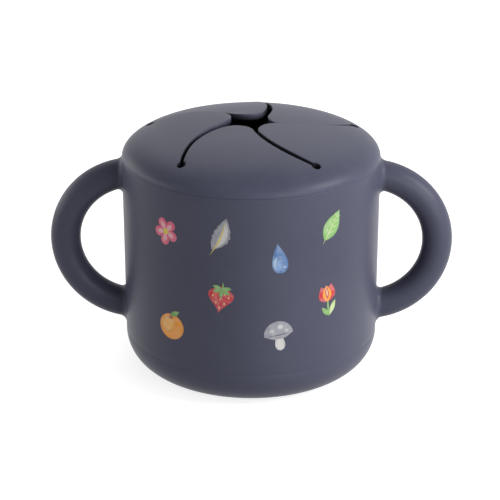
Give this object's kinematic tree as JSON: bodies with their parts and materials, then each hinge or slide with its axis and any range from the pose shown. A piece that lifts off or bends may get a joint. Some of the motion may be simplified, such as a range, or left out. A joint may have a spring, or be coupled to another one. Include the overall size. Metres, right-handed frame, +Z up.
{
  "type": "toddler snack cup",
  "caption": "Soft round snack cup with loop handles and a crowned press-in lid whose curved flaps let a small hand reach in and keep the snacks inside.",
  "frame": {"origin": "middle of the base, on the surface that the cup stands on", "axes": "+Z up along the cup's axis, +X through the middle of the right handle, -Y towards the viewer of the picture"},
  "size_m": [0.1426, 0.09, 0.0887],
  "materials": {
    "cup_silicone": "matte, soft touch",
    "lid_silicone": "matte, soft touch"
  },
  "bodies": {
    "cup": {"cup_shell": "cup_silicone", "handle_left": "cup_silicone", "handle_right": "cup_silicone"},
    "lid": {"lid_rim": "lid_silicone", "flap_front_root": "lid_silicone", "flap_right_root": "lid_silicone", "flap_back_right_root": "lid_silicone", "flap_back_root": "lid_silicone", "flap_left_root": "lid_silicone"},
    "flap_front": {"flap_front": "lid_silicone"},
    "flap_right": {"flap_right": "lid_silicone"},
    "flap_back_right": {"flap_back_right": "lid_silicone"},
    "flap_back": {"flap_back": "lid_silicone"},
    "flap_left": {"flap_left": "lid_silicone"}
  },
  "joints": [
    {"name": "lid_lift", "type": "slide", "parent": "cup", "child": "lid", "axis": [0, 0, 1], "range_m": [0, 0.06]},
    {"name": "flap_front_bend", "type": "hinge", "parent": "lid", "child": "flap_front", "pos_m": [-0.00025, -0.02866, 0.0845], "axis": [-1, 0.0087, 0], "range_deg": [-30, 70], "stiffness_Nm_per_rad": 0.02, "deforming": ["flap_front_root"]},
    {"name": "flap_right_bend", "type": "hinge", "parent": "lid", "child": "flap_right", "pos_m": [0.02718, -0.00909, 0.0845], "axis": [-0.3173, -0.9483, 0], "range_deg": [-30, 70], "stiffness_Nm_per_rad": 0.02, "deforming": ["flap_right_root"]},
    {"name": "flap_back_right_bend", "type": "hinge", "parent": "lid", "child": "flap_back_right", "pos_m": [0.01705, 0.02304, 0.0845], "axis": [0.8039, -0.5948, 0], "range_deg": [-30, 70], "stiffness_Nm_per_rad": 0.02, "deforming": ["flap_back_right_root"]},
    {"name": "flap_back_bend", "type": "hinge", "parent": "lid", "child": "flap_back", "pos_m": [-0.01664, 0.02333, 0.0845], "axis": [0.8141, 0.5807, 0], "range_deg": [-30, 70], "stiffness_Nm_per_rad": 0.02, "deforming": ["flap_back_root"]},
    {"name": "flap_left_bend", "type": "hinge", "parent": "lid", "child": "flap_left", "pos_m": [-0.02734, -0.00862, 0.0845], "axis": [-0.3007, 0.9537, 0], "range_deg": [-30, 70], "stiffness_Nm_per_rad": 0.02, "deforming": ["flap_left_root"]}
  ]
}
